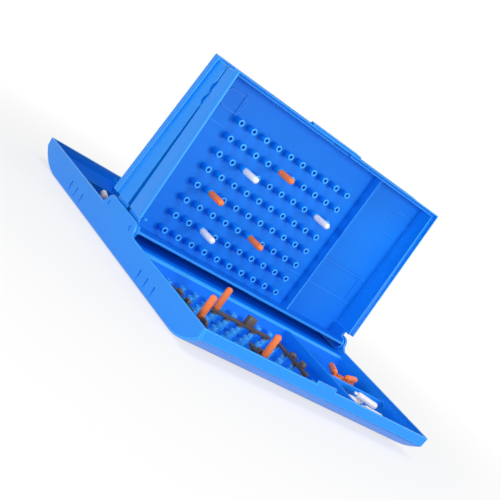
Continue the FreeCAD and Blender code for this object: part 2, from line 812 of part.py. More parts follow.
for colour, places in near_targets.items():
    for number, (column, row) in enumerate(places, 1):
        nodes["near_target_%s_%d" % (colour, number)] = opened(target_peg(column, row))
for colour, places in far_targets.items():
    for number, (column, row) in enumerate(places, 1):
        nodes["far_target_%s_%d" % (colour, number)] = far_side(opened(target_peg(column, row)))

for number, (name, index) in enumerate(near_hits, 1):
    nodes["near_hit_%d" % number] = hit_peg(near_fleet, name, index)
for number, (name, index) in enumerate(far_hits, 1):
    nodes["far_hit_%d" % number] = far_side(hit_peg(far_fleet, name, index))

heaps = {"near_store_orange": (near_back_heap, back_pocket),
         "near_store_white": (near_front_heap, front_pocket),
         "far_store_white": (far_back_heap, back_pocket),
         "far_store_orange": (far_front_heap, front_pocket)}
for name, (heap, pocket) in heaps.items():
    for number, place in enumerate(heap, 1):
        shape = lying_peg(pocket, *place)
        nodes["%s_%d" % (name, number)] = far_side(shape) if name.startswith("far") else shape

for name, shape in nodes.items():
    solids = shape.Solids
    print(name, len(solids), "solids", round(sum(s.Volume for s in solids), 1), "mm3", shape.isValid())
    shape.exportStep("parts/%s.step" % name)
print(len(nodes), "nodes")
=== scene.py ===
import json
import math

import bmesh
import bpy
from mathutils import Matrix, Vector, geometry


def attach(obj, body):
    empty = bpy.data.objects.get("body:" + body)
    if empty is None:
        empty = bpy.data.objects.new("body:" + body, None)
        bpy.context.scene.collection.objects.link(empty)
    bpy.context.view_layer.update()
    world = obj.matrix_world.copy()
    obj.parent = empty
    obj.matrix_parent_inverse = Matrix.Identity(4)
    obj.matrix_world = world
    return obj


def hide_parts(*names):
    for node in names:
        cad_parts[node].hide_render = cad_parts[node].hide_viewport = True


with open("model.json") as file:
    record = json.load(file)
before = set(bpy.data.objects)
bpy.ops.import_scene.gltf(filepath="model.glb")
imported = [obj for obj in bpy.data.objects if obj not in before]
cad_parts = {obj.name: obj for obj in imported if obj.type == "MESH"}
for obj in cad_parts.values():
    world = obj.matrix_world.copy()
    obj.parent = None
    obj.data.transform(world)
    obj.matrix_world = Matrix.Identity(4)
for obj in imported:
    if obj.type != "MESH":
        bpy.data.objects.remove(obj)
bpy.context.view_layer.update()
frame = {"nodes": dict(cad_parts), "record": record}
print("frame loaded")

scene = bpy.context.scene
nodes = frame["nodes"]
bodies = frame["record"]["behaviour"]["bodies"]
bodyOf = {member: body for body, members in bodies.items() for member in members}
mm = 0.001


# the view: places in metres, lens and sensor in millimetres, roll in degrees
camera = {"place": (-0.4491, -0.5419, 0.1382), "forward": (0.62974, 0.76468, -0.13671), "roll": -36.69,
          "lens": 78.4, "sensor": 36, "clip": (0.01, 100)}


def makeCamera():
    data = bpy.data.cameras.new("viewCamera")
    data.sensor_width = camera["sensor"]
    data.lens = camera["lens"]
    data.clip_start, data.clip_end = camera["clip"]
    holder = bpy.data.objects.new("viewCamera", data)
    scene.collection.objects.link(holder)
    ahead = Vector(camera["forward"]).normalized()
    right = ahead.cross(Vector((0, 0, 1))).normalized()
    up = right.cross(ahead)
    turn = Matrix.Rotation(math.radians(camera["roll"]), 3, ahead)
    rows = Matrix((turn @ right, turn @ up, -ahead)).transposed()
    holder.matrix_world = Matrix.Translation(Vector(camera["place"])) @ rows.to_4x4()
    scene.camera = holder


# lamps: metres and watts
lamps = {"frontBox": {"place": (0.32, -1.15, 0.34), "width": 0.4, "height": 0.4, "power": 6.5},
         "sideBox": {"place": (-1.2, -0.32, 0.12), "width": 0.7, "height": 0.22, "power": 6.2},
         "topBox": {"place": (-0.2, -0.55, 1.1), "width": 0.5, "height": 0.5, "power": 4.6}}
lampAim = (0, 0, 0.05)
studio = {"skyStrength": 0.38, "skyColour": (0.93, 0.96, 1.0), "floorColour": (0.93, 0.93, 0.93),
          "floorRoughness": 0.9, "floorReach": 40.0, "floorDrop": 0.3,
          # metres from the middle over which the paper turns plain white, and its whiteness nearer in
          "shadowReach": (0.16, 0.34), "shadowCover": 0.72}


def seenAsWhite(tree, shader, amount=None):
    # camera, glossy and transmission rays meet plain white, by the given amount; others meet the shader
    rays = tree.nodes.new("ShaderNodeLightPath")
    first = tree.nodes.new("ShaderNodeMath")
    first.operation = "MAXIMUM"
    second = tree.nodes.new("ShaderNodeMath")
    second.operation = "MAXIMUM"
    tree.links.new(rays.outputs["Is Camera Ray"], first.inputs[0])
    tree.links.new(rays.outputs["Is Glossy Ray"], first.inputs[1])
    tree.links.new(first.outputs[0], second.inputs[0])
    tree.links.new(rays.outputs["Is Transmission Ray"], second.inputs[1])
    white = tree.nodes.new("ShaderNodeBackground" if amount is None else "ShaderNodeEmission")
    white.inputs["Color"].default_value = (1, 1, 1, 1)
    white.inputs["Strength"].default_value = 1.0
    mix = tree.nodes.new("ShaderNodeMixShader")
    if amount is None:
        tree.links.new(second.outputs[0], mix.inputs["Fac"])
    else:
        share = tree.nodes.new("ShaderNodeMath")
        share.operation = "MULTIPLY"
        tree.links.new(second.outputs[0], share.inputs[0])
        tree.links.new(amount, share.inputs[1])
        tree.links.new(share.outputs[0], mix.inputs["Fac"])
    tree.links.new(shader.outputs[0], mix.inputs[1])
    tree.links.new(white.outputs[0], mix.inputs[2])
    return mix


def makeWorld():
    world = bpy.data.worlds.new("studio")
    scene.world = world
    world.use_nodes = True
    tree = world.node_tree
    tree.nodes.clear()
    out = tree.nodes.new("ShaderNodeOutputWorld")
    sky = tree.nodes.new("ShaderNodeBackground")
    sky.inputs["Color"].default_value = studio["skyColour"] + (1,)
    sky.inputs["Strength"].default_value = studio["skyStrength"]
    mix = seenAsWhite(tree, sky)
    tree.links.new(mix.outputs[0], out.inputs["Surface"])


def softbox(name):
    values = lamps[name]
    data = bpy.data.lights.new(name, "AREA")
    data.shape = "RECTANGLE"
    data.size = values["width"]
    data.size_y = values["height"]
    data.energy = values["power"]
    holder = bpy.data.objects.new(name, data)
    scene.collection.objects.link(holder)
    place = Vector(values["place"])
    holder.location = place
    holder.rotation_euler = (Vector(lampAim) - place).to_track_quat("-Z", "Y").to_euler()


def makeFloor():
    reach = studio["floorReach"]
    drop = -studio["floorDrop"] * mm
    mesh = bpy.data.meshes.new("floor")
    corners = [(-reach, -reach, drop), (reach, -reach, drop), (reach, reach, drop), (-reach, reach, drop)]
    mesh.from_pydata(corners, [], [(0, 1, 2, 3)])
    floor = bpy.data.objects.new("floor", mesh)
    scene.collection.objects.link(floor)
    material = bpy.data.materials.new("floorPaper")
    material.use_nodes = True
    tree = material.node_tree
    shader = tree.nodes["Principled BSDF"]
    shader.inputs["Base Color"].default_value = studio["floorColour"] + (1,)
    shader.inputs["Roughness"].default_value = studio["floorRoughness"]
    # the paper shows its shadow round the case and is plain white further out
    place = tree.nodes.new("ShaderNodeTexCoord")
    distance = tree.nodes.new("ShaderNodeVectorMath")
    distance.operation = "LENGTH"
    fade = tree.nodes.new("ShaderNodeMapRange")
    fade.inputs["From Min"].default_value = studio["shadowReach"][0]
    fade.inputs["From Max"].default_value = studio["shadowReach"][1]
    fade.inputs["To Min"].default_value = studio["shadowCover"]
    tree.links.new(place.outputs["Object"], distance.inputs[0])
    tree.links.new(distance.outputs["Value"], fade.inputs["Value"])
    mix = seenAsWhite(tree, shader, fade.outputs["Result"])
    tree.links.new(mix.outputs[0], tree.nodes["Material Output"].inputs["Surface"])
    floor.data.materials.append(material)


makeCamera()
makeWorld()
makeFloor()
for name in lamps:
    softbox(name)
scene.view_settings.view_transform = "Standard"
print("camera and lights made")


# plastics: depths in millimetres
skinTexture = {"driftScale": 18, "driftDetail": 3, "grainScale": 900, "grainDetail": 2, "grainDepth": 0.05,
               # the pointiness range of the paler edges, which are partly wear and partly a painted highlight
               "wearAndHighlightFrom": 0.53, "wearAndHighlightTo": 0.62, "roughnessSpread": 0.08}


def newGroup(name, inputs, outputs):
    group = bpy.data.node_groups.new(name, "ShaderNodeTree")
    for label, kind, value in inputs:
        socket = group.interface.new_socket(label, in_out="INPUT", socket_type=kind)
        socket.default_value = value
    for label, kind in outputs:
        group.interface.new_socket(label, in_out="OUTPUT", socket_type=kind)
    return group, group.nodes.new("NodeGroupInput"), group.nodes.new("NodeGroupOutput")


def makeMouldedSkin():
    # slow shade drift, fine moulding texture and paler edges, partly wear and partly a painted highlight
    group, given, made = newGroup(
        "mouldedSkin",
        [("Colour", "NodeSocketColor", (0.5, 0.5, 0.5, 1)),
         ("Worn And Highlight Colour", "NodeSocketColor", (0.8, 0.8, 0.8, 1)),
         ("Roughness", "NodeSocketFloat", 0.35),
         ("Drift", "NodeSocketFloat", 0.06),
         ("Wear And Highlight", "NodeSocketFloat", 0.3)],
        [("Colour", "NodeSocketColor"), ("Roughness", "NodeSocketFloat"), ("Height", "NodeSocketFloat")])
    links = group.links
    place = group.nodes.new("ShaderNodeTexCoord")
    slow = group.nodes.new("ShaderNodeTexNoise")
    slow.inputs["Scale"].default_value = skinTexture["driftScale"]
    slow.inputs["Detail"].default_value = skinTexture["driftDetail"]
    fine = group.nodes.new("ShaderNodeTexNoise")
    fine.inputs["Scale"].default_value = skinTexture["grainScale"]
    fine.inputs["Detail"].default_value = skinTexture["grainDetail"]
    links.new(place.outputs["Object"], slow.inputs["Vector"])
    links.new(place.outputs["Object"], fine.inputs["Vector"])

    # the shade falls by up to the drift
    shade = group.nodes.new("ShaderNodeMath")
    shade.operation = "MULTIPLY"
    links.new(slow.outputs["Fac"], shade.inputs[0])
    links.new(given.outputs["Drift"], shade.inputs[1])
    left = group.nodes.new("ShaderNodeMath")
    left.operation = "SUBTRACT"
    left.inputs[0].default_value = 1.0
    links.new(shade.outputs[0], left.inputs[1])
    darker = group.nodes.new("ShaderNodeHueSaturation")
    links.new(left.outputs[0], darker.inputs["Value"])
    links.new(given.outputs["Colour"], darker.inputs["Color"])

    # the paler edges found by pointiness are partly wear and partly a painted highlight
    edge = group.nodes.new("ShaderNodeNewGeometry")
    ramp = group.nodes.new("ShaderNodeValToRGB")
    ramp.color_ramp.elements[0].position = skinTexture["wearAndHighlightFrom"]
    ramp.color_ramp.elements[1].position = skinTexture["wearAndHighlightTo"]
    links.new(edge.outputs["Pointiness"], ramp.inputs["Fac"])
    wornAndHighlight = group.nodes.new("ShaderNodeMath")
    wornAndHighlight.operation = "MULTIPLY"
    links.new(ramp.outputs["Color"], wornAndHighlight.inputs[0])
    links.new(given.outputs["Wear And Highlight"], wornAndHighlight.inputs[1])
    mix = group.nodes.new("ShaderNodeMix")
    mix.data_type = "RGBA"
    links.new(wornAndHighlight.outputs[0], mix.inputs["Factor"])
    links.new(darker.outputs["Color"], mix.inputs[6])
    links.new(given.outputs["Worn And Highlight Colour"], mix.inputs[7])
    links.new(mix.outputs[2], made.inputs["Colour"])

    rough = group.nodes.new("ShaderNodeMath")
    rough.operation = "MULTIPLY_ADD"
    links.new(slow.outputs["Fac"], rough.inputs[0])
    rough.inputs[1].default_value = skinTexture["roughnessSpread"]
    links.new(given.outputs["Roughness"], rough.inputs[2])
    links.new(rough.outputs[0], made.inputs["Roughness"])
    links.new(fine.outputs["Fac"], made.inputs["Height"])
    return group


mouldedSkin = makeMouldedSkin()
glowReach = {"colour": (1.0, 0.7, 0.6), "depth": 2.5}


def plastic(name, colour, roughness, grain, drift=0.10, gloss=0.4, wearAndHighlight=0.0, wornAndHighlightColour=(1, 1, 1), glow=0.0):
    # the paler edges are partly wear and partly a painted highlight
    # glow is the share of light that goes a little way into a thin piece
    material = bpy.data.materials.new(name)
    material.use_nodes = True
    tree = material.node_tree
    shader = tree.nodes["Principled BSDF"]
    shader.inputs["Specular IOR Level"].default_value = gloss
    shader.inputs["Subsurface Weight"].default_value = glow
    shader.inputs["Subsurface Radius"].default_value = glowReach["colour"]
    shader.inputs["Subsurface Scale"].default_value = glowReach["depth"] * mm
    skin = tree.nodes.new("ShaderNodeGroup")
    skin.node_tree = mouldedSkin
    skin.inputs["Colour"].default_value = colour + (1,)
    skin.inputs["Worn And Highlight Colour"].default_value = wornAndHighlightColour + (1,)
    skin.inputs["Roughness"].default_value = roughness
    skin.inputs["Drift"].default_value = drift
    skin.inputs["Wear And Highlight"].default_value = wearAndHighlight
    bump = tree.nodes.new("ShaderNodeBump")
    bump.inputs["Strength"].default_value = grain
    bump.inputs["Distance"].default_value = skinTexture["grainDepth"] * mm
    tree.links.new(skin.outputs["Colour"], shader.inputs["Base Color"])
    tree.links.new(skin.outputs["Roughness"], shader.inputs["Roughness"])
    tree.links.new(skin.outputs["Height"], bump.inputs["Height"])
    tree.links.new(bump.outputs["Normal"], shader.inputs["Normal"])
    return material


finishes = {
    "case": plastic("casePlastic", (0.003, 0.265, 0.90), roughness=0.33, grain=0.15),
    "orange_peg": plastic("pegOrange", (1.0, 0.225, 0.045), roughness=0.36, grain=0.1, drift=0.05, wearAndHighlight=0.2,
                          wornAndHighlightColour=(1.0, 0.36, 0.14), glow=0.2),
    "white_peg": plastic("pegWhite", (0.92, 0.89, 0.84), roughness=0.36, grain=0.1, drift=0.06, wearAndHighlight=0.2,
                         wornAndHighlightColour=(0.95, 0.95, 0.95), glow=0.7),
    "ship": plastic("shipPlastic", (0.105, 0.082, 0.064), roughness=0.42, grain=0.2, drift=0.15, wearAndHighlight=0.5,
                    wornAndHighlightColour=(0.26, 0.21, 0.16)),
}
# the case's other surfaces: a paler blue painted as a highlight on edges, matt trays in a deeper blue painted
# as shade, the spine's dull top in a brighter blue painted as light in its shade, and the lids' insides in a
# deeper blue painted as shade
# a paler blue that is a painted highlight on edges, stud rings, tray studs and the spine's shoulder
paintedHighlightPlastic = plastic("paintedHighlightPlastic", (0.035, 0.40, 0.97), roughness=0.3, grain=0.05, drift=0.05)
# matt, grained tray floors whose deeper blue is painted shade
trayMattPaintedShade = plastic("trayMattPaintedShade", (0.001, 0.195, 0.94), roughness=0.62, grain=0.4, gloss=0.2)
# the spine's dull top, in a brighter blue that is painted light against its shade
spineDullPaintedLight = plastic("spineDullPaintedLight", (0.002, 0.21, 1.0), roughness=0.9, grain=0.4, gloss=0.0)
# the lids' floors and inner walls, in a deeper blue that is painted shade
insidePlastic = plastic("insidePlastic", (0.002, 0.205, 0.80), roughness=0.45, grain=0.3, gloss=0.2)
# places in a moulding's list of materials; its own finish comes first
# the edge place holds the painted highlight, the floor place the painted shade and the spine place the
# painted light
finishPlace = {"edge": 1, "floor": 2, "spine": 3}


def slotOf(name):
    if "orange" in name or "_hit_" in name:
        return "orange_peg"
    if "white" in name:
        return "white_peg"
    if name == "base" or name.endswith("lid"):
        return "case"
    return "ship"


for name, node in nodes.items():
    node.data.materials.clear()
    node.data.materials.append(finishes[slotOf(name)])
print("plastics made")


# a shape is a list of points in millimetres and a list of faces
crease = 35  # degrees above which an edge looks sharp
joinReach = 1e-6  # corners nearer than this are one


def lathed(profile, segments):
    # points (radius, height) turned about Z; a radius of 0 closes an end
    points = []
    faces = []
    rings = []
    for radius, height in profile:
        if radius == 0:
            rings.append([len(points)])
            points.append(Vector((0, 0, height)))
            continue
        rings.append(list(range(len(points), len(points) + segments)))
        for i in range(segments):
            angle = 2 * math.pi * i / segments
            points.append(Vector((radius * math.cos(angle), radius * math.sin(angle), height)))
    for low, high in zip(rings, rings[1:]):
        for i in range(segments):
            j = (i + 1) % segments
            if len(low) == 1:
                faces.append((low[0], high[j], high[i]))
            elif len(high) == 1:
                faces.append((low[i], low[j], high[0]))
            else:
                faces.append((low[i], low[j], high[j], high[i]))
    return points, faces


def repeated(shape, places):
    # one mesh from a copy of the shape at each place
    points, faces = shape
    allPoints = []
    allFaces = []
    for place in places:
        start = len(allPoints)
        allPoints.extend(place @ point for point in points)
        allFaces.extend(tuple(start + corner for corner in face) for face in faces)
    return allPoints, allFaces


def joined(shapes):
    points = []
    faces = []
    for partPoints, partFaces in shapes:
        start = len(points)
        points.extend(partPoints)
        faces.extend(tuple(start + corner for corner in face) for face in partFaces)
    return points, faces


def meshOf(name, shape):
    points, faces = shape
    mesh = bpy.data.meshes.new(name)
    mesh.from_pydata([point * mm for point in points], [], faces)
    mesh.shade_smooth()
    mesh.set_sharp_from_angle(angle=math.radians(crease))
    return mesh


def addPiece(name, mesh, body, slot, place=None):
    piece = bpy.data.objects.new(name, mesh)
    scene.collection.objects.link(piece)
    if place is not None:
        piece.matrix_world = place
    if not mesh.materials:
        mesh.materials.append(finishes[slot])
    bpy.context.view_layer.update()
    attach(piece, body)
    return piece


# stud grids, in millimetres: the base's from the middle of its underside, a lid's from its hinge
seaGrid = {"columns": 10, "rows": 8, "pitch": 11.33, "firstColumn": -80.5, "firstRow": -116.7, "top": 8.3}
targetGrid = {"firstColumn": -73.9, "firstRow": 87.4, "height": 7.0}
hinge = {"y": 17.2, "z": 19.75, "rest": 93.18}
panel = {"rim": 14.8, "depth": 19.97, "floor": 1.6, "wedge": 2.38}
stud = {"radius": 2.2, "trayBore": 1.28, "lidBore": 1.15, "boreDepth": 6.5, "edge": 0.26, "segments": 24,
        # the depth and facing of the lid studs' top rings, which get a painted highlight
        "sink": 0.3, "lidFoot": -0.4, "ringDepth": 0.39, "ringFacing": 0.3,
        # the rounding of the top ring, as shares of the edge (away from the wall, down from the top)
        "outerCurve": ((0, 1), (0.3, 0.3), (1, 0)), "innerCurve": ((0.7, 0), (0.2, 0.2), (0, 0.8))}
trayFloor = {"halfDepth": 127, "sweepLength": 28, "sweepRadius": 41.41, "thickness": 1.7}

halfTurn = Matrix.Rotation(math.pi, 4, "Z")


def sideTurn(side):
    return halfTurn if side == "far" else Matrix.Identity(4)


def panelPlace():
    # from a flat layout, +Z out of the lid's floor, to the near lid at rest
    axis = Vector((0, -hinge["y"], hinge["z"]))
    opened = (Matrix.Translation(axis) @ Matrix.Rotation(math.radians(-hinge["rest"]), 4, "X")
              @ Matrix.Translation(-axis))
    onFloor = Matrix.Translation(Vector((0, -hinge["y"], panel["rim"] + panel["depth"] - panel["floor"])))
    return (opened @ onFloor @ Matrix.Rotation(math.radians(panel["wedge"]), 4, "X")
            @ Matrix.Rotation(math.pi, 4, "X"))


def targetCell(column, row):
    along = targetGrid["firstRow"] - seaGrid["pitch"] * row
    return Vector((targetGrid["firstColumn"] + seaGrid["pitch"] * column,
                   along / math.cos(math.radians(panel["wedge"])), 0))


def trayCell(column, row):
    return Vector((seaGrid["firstColumn"] + seaGrid["pitch"] * column,
                   seaGrid["firstRow"] + seaGrid["pitch"] * row, 0))


def studShape(foot, top, bore):
    radius = stud["radius"]
    edge = stud["edge"]
    bottom = max(foot, top - stud["boreDepth"])
    outside = [(radius - edge * away, top - edge * down) for away, down in stud["outerCurve"]]
    inside = [(bore + edge * away, top - edge * down) for away, down in stud["innerCurve"]]
    return lathed([(radius, foot)] + outside + inside + [(bore, bottom), (0, bottom)], stud["segments"])


def floorHeight(y):
    # top of the tray's floor, which curves up towards the front wall
    run = max(0.0, -y - (trayFloor["halfDepth"] - trayFloor["sweepLength"]))
    radius = trayFloor["sweepRadius"] - trayFloor["thickness"]
    return trayFloor["sweepRadius"] - math.sqrt(radius ** 2 - run ** 2)


def everyCell(cell):
    return [cell(column, row) for column in range(seaGrid["columns"]) for row in range(seaGrid["rows"])]


def paintRingHighlights(mesh, place):
    # the top rings of the lid's studs get the paler blue of a painted highlight
    mesh.materials.append(paintedHighlightPlastic)
    back = place.inverted()
    for face in mesh.polygons:
        centre = back @ (face.center / mm)
        facing = back.to_3x3() @ face.normal
        if centre.z > targetGrid["height"] - stud["ringDepth"] and facing.z > stud["ringFacing"]:
            face.material_index = finishPlace["edge"]


def trayStudShape():
    rows = []
    for row in range(seaGrid["rows"]):
        spots = [trayCell(column, row) for column in range(seaGrid["columns"])]
        foot = floorHeight(spots[0].y) - stud["sink"]
        shape = studShape(foot, seaGrid["top"], stud["trayBore"])
        for point in shape[0]:
            # the outer foot follows the floor where that curves up
            if point.z == foot and math.hypot(point.x, point.y) > stud["trayBore"] + stud["edge"]:
                point.z = floorHeight(spots[0].y + point.y) - stud["sink"]
        rows.append(repeated(shape, [Matrix.Translation(spot) for spot in spots]))
    return joined(rows)


def makeStuds():
    trayShape = trayStudShape()
    lidPlaces = [panelPlace() @ Matrix.Translation(spot) for spot in everyCell(targetCell)]
    lidShape = repeated(studShape(stud["lidFoot"], targetGrid["height"], stud["lidBore"]), lidPlaces)
    for side in ("near", "far"):
        turn = sideTurn(side)
        trayStuds = meshOf(side + "TrayStuds", repeated(trayShape, [turn]))
        # the tray's studs are wholly in the paler blue of a painted highlight
        trayStuds.materials.append(paintedHighlightPlastic)
        lidStuds = meshOf(side + "LidStuds", repeated(lidShape, [turn]))
        lidStuds.materials.append(finishes["case"])
        paintRingHighlights(lidStuds, turn @ panelPlace())
        addPiece(side + "TrayStuds", trayStuds, "base", "case")
        addPiece(side + "LidStuds", lidStuds, side + "_lid", "case")


makeStuds()
print("studs made")


# mouldings of the base and the lids, in millimetres and degrees
shell = {"edge": 0.4, "edgeSteps": 2, "softFrom": 32, "flatWeight": 100,
         # height above the floor from which a stud stands, and its reach from the axis
         "trayStudFrom": 1.0, "trayStudReach": 3.1, "lidStudFrom": -0.2, "lidStudReach": 2.5,
         # where edges aren't rounded: round the hinge bores, at the grips and near the floor's plane
         "boreReach": 3.6, "gripFrom": 97.5, "gripTop": 15.5, "gripZone": (35, 95), "markHeight": 0.9,
         # which faces have the other finishes: painted shade on the tray floors, a painted highlight on the
         # spine's shoulder, painted light on its top and painted shade inside the lids
         "mattBelow": 16, "mattFacing": 0.3, "shoulderAbove": 12.2, "shoulderFacing": (0.4, 0.97),
         "insideHalf": 96.6, "insideBottom": -0.5, "insideTop": 16.5}


def nearGrip(point):
    low, high = shell["gripZone"]
    atEnd = abs(point.x) > shell["gripFrom"] * mm and point.z < shell["gripTop"] * mm
    return atEnd and low * mm < abs(point.y) < high * mm


def nearHingeBore(point):
    return math.hypot(abs(point.y) - hinge["y"] * mm, point.z - hinge["z"] * mm) < shell["boreReach"] * mm


def fineDetail(point):
    return nearHingeBore(point) or nearGrip(point)


def markSoftEdges(form, floor):
    # crisp outer edges are rounded, all others stay sharp; floor is (point, direction) of the floor's plane
    foot, out = floor
    weight = form.edges.layers.float.new("bevel_weight_edge")
    for edge in form.edges:
        if len(edge.link_faces) != 2 or edge.calc_face_angle(0) < math.radians(shell["softFrom"]):
            continue
        ends = [vert.co for vert in edge.verts]
        onFloor = all(abs((end - foot).dot(out)) < shell["markHeight"] * mm for end in ends)
        if edge.is_convex and not onFloor and not all(fineDetail(end) for end in ends):
            edge[weight] = 1.0
        else:
            edge.smooth = False


def bareShell(name, axes, lowest, reach):
    # the moulding without its studs; axes holds (foot, direction) of each stud
    mesh = nodes[name].data.copy()
    form = bmesh.new()
    form.from_mesh(mesh)
    bmesh.ops.remove_doubles(form, verts=form.verts, dist=joinReach)
    form.verts.index_update()
    owner = {}
    for vert in form.verts:
        for index, (foot, out) in enumerate(axes):
            apart = vert.co - foot
            along = apart.dot(out)
            if along > lowest and (apart - out * along).length < reach:
                owner[vert.index] = index
                break
    gone = []
    for face in form.faces:
        owners = {owner.get(vert.index, -1) for vert in face.verts}
        if len(owners) == 1 and -1 not in owners:
            gone.append(face)
    bmesh.ops.delete(form, geom=gone, context="FACES")
    loose = [edge for edge in form.edges if edge.is_boundary]
    bmesh.ops.holes_fill(form, edges=loose, sides=0)
    bmesh.ops.recalc_face_normals(form, faces=form.faces)
    markSoftEdges(form, axes[0])
    form.to_mesh(mesh)
    form.free()
    mesh.shade_smooth()
    return mesh


def finishTray(mesh):
    # matt floors inside the trays in a deeper blue as painted shade, a painted highlight along the spine's
    # shoulder and a dull top on it in a brighter blue as painted light
    for material in (paintedHighlightPlastic, trayMattPaintedShade, spineDullPaintedLight):
        mesh.materials.append(material)
    low, high = shell["shoulderFacing"]
    for face in mesh.polygons:
        height = face.center.z / mm
        # painted shade on the tray floors, a painted highlight on the shoulder and painted light on the
        # spine's top
        if height < shell["mattBelow"] and face.normal.z > shell["mattFacing"]:
            face.material_index = finishPlace["floor"]
            if height > shell["shoulderAbove"] and low < face.normal.z < high:
                face.material_index = finishPlace["edge"]
            if height > shell["shoulderAbove"] and face.normal.z > high:
                face.material_index = finishPlace["spine"]


def finishInside(mesh, place):
    # the lid's floor and inner walls have a grained finish in a deeper blue, which is painted shade
    for material in (paintedHighlightPlastic, insidePlastic):
        mesh.materials.append(material)
    back = place.inverted()
    for face in mesh.polygons:
        centre = back @ (face.center / mm)
        if abs(centre.x) < shell["insideHalf"] and shell["insideBottom"] < centre.z < shell["insideTop"]:
            face.material_index = finishPlace["floor"]


def softened(piece):
    # rounds the marked edges, painting their bevels with a highlight colour, and keeps large faces flat
    bevel = piece.modifiers.new("softEdges", "BEVEL")
    bevel.width = shell["edge"] * mm
    bevel.segments = shell["edgeSteps"]
    bevel.limit_method = "WEIGHT"
    # the bevels take the painted highlight
    bevel.material = finishPlace["edge"]
    bevel.use_clamp_overlap = False
    normals = piece.modifiers.new("flatFaces", "WEIGHTED_NORMAL")
    normals.weight = shell["flatWeight"]
    normals.keep_sharp = True


def keepInside(piece, half):
    # a bevelled corner never stands out past the moulding's own front and back
    bpy.context.view_layer.update()
    made = piece.evaluated_get(bpy.context.evaluated_depsgraph_get())
    shape = bpy.data.meshes.new_from_object(made)
    piece.modifiers.clear()
    piece.data = shape
    for vert in shape.vertices:
        vert.co.y = max(-half, min(half, vert.co.y))


def makeShells():
    up = Vector((0, 0, 1))
    axes = [(sideTurn(side) @ spot * mm, up) for side in ("near", "far") for spot in everyCell(trayCell)]
    mesh = bareShell("base", axes, shell["trayStudFrom"] * mm, shell["trayStudReach"] * mm)
    finishTray(mesh)
    base = addPiece("baseShell", mesh, "base", "case")
    softened(base)
    keepInside(base, trayFloor["halfDepth"] * mm)
    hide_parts("base")
    for side in ("near", "far"):
        place = sideTurn(side) @ panelPlace()
        out = (place.to_3x3() @ up).normalized()
        axes = [(place @ spot * mm, out) for spot in everyCell(targetCell)]
        mesh = bareShell(side + "_lid", axes, shell["lidStudFrom"] * mm, shell["lidStudReach"] * mm)
        finishInside(mesh, place)
        lid = addPiece(side + "LidShell", mesh, side + "_lid", "case")
        softened(lid)
        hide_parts(side + "_lid")


makeShells()
print("shells made")


# relief lines on the lids' floors, in millimetres
relief = {"width": 0.55, "height": 0.22, "sink": 0.2}
# each line is a row of (x, y) points
reliefLines = {"upperRule": [(52.6, 44.6), (95.5, 44.6)], "lowerRule": [(52.6, 25.2), (95.5, 25.2)],
               "gridRule": [(28.5, 25.2), (48.0, 25.2)], "leftRule": [(-93.5, 79.0), (-78.5, 79.0)],
               "leftPlate": [(-91, 92), (-88.5, 89.5), (-77.5, 89.5), (-75, 92), (-75, 99), (-77.5, 101.5),
                             (-88.5, 101.5), (-91, 99), (-91, 92)],
               "rightPlate": [(78, 84), (81, 81), (92, 81), (95, 84), (95, 95), (92, 98), (81, 98), (78, 95),
                              (78, 84)]}


def reliefShape():
    parts = []
    half = relief["width"] / 2
    for line in reliefLines.values():
        for start, end in zip(line, line[1:]):
            start = Vector(start + (0,))
            end = Vector(end + (0,))
            along = (end - start).normalized() * half
            across = Vector((-along.y, along.x, 0))
            tail = start - along
            head = end + along
            ring = [tail - across, head - across, head + across, tail + across]
            low = [corner - Vector((0, 0, relief["sink"])) for corner in ring]
            high = [corner + Vector((0, 0, relief["height"])) for corner in ring]
            sides = [(i, (i + 1) % 4, (i + 1) % 4 + 4, i + 4) for i in range(4)]
            parts.append((low + high, [(3, 2, 1, 0), (4, 5, 6, 7)] + sides))
    return joined(parts)


def makeRelief():
    for side in ("near", "far"):
        mesh = meshOf(side + "LidRelief", repeated(reliefShape(), [sideTurn(side) @ panelPlace()]))
        addPiece(side + "LidRelief", mesh, side + "_lid", "case")


makeRelief()
print("relief lines made")


# marker pegs, in millimetres
peg = {"radius": 2.1, "length": 15.6, "pin": 0.95, "pinLength": 2.4, "tipShare": 0.8, "tipLength": 0.3,
       "domeShare": 0.92, "domeSteps": 6, "segments": 24,
       # the rounded foot, and its curve as shares of it (in from the wall, up from the bottom)
       "foot": 1.1, "footCurve": ((1, 0), (0.6, 0.13), (0.29, 0.29), (0.08, 0.6), (0, 1)),
       # how the place of a solid is found: its own radius, the share of that which is wide, and the steps
       "solidRadius": 2.05, "wideShare": 0.94, "axisSteps": 60}


def pegShape():
    radius = peg["radius"]
    foot = peg["foot"]
    dome = radius * peg["domeShare"]
    pin = peg["pin"]
    tip = -peg["pinLength"]
    profile = [(0, tip), (pin * peg["tipShare"], tip), (pin, tip + peg["tipLength"]), (pin, 0)]
    profile += [(radius - foot * inwards, foot * up) for inwards, up in peg["footCurve"]]
    for step in range(peg["domeSteps"]):
        angle = math.pi / 2 * step / peg["domeSteps"]
        profile.append((radius * math.cos(angle), peg["length"] - dome + dome * math.sin(angle)))
    profile.append((0, peg["length"]))
    return lathed(profile, peg["segments"])


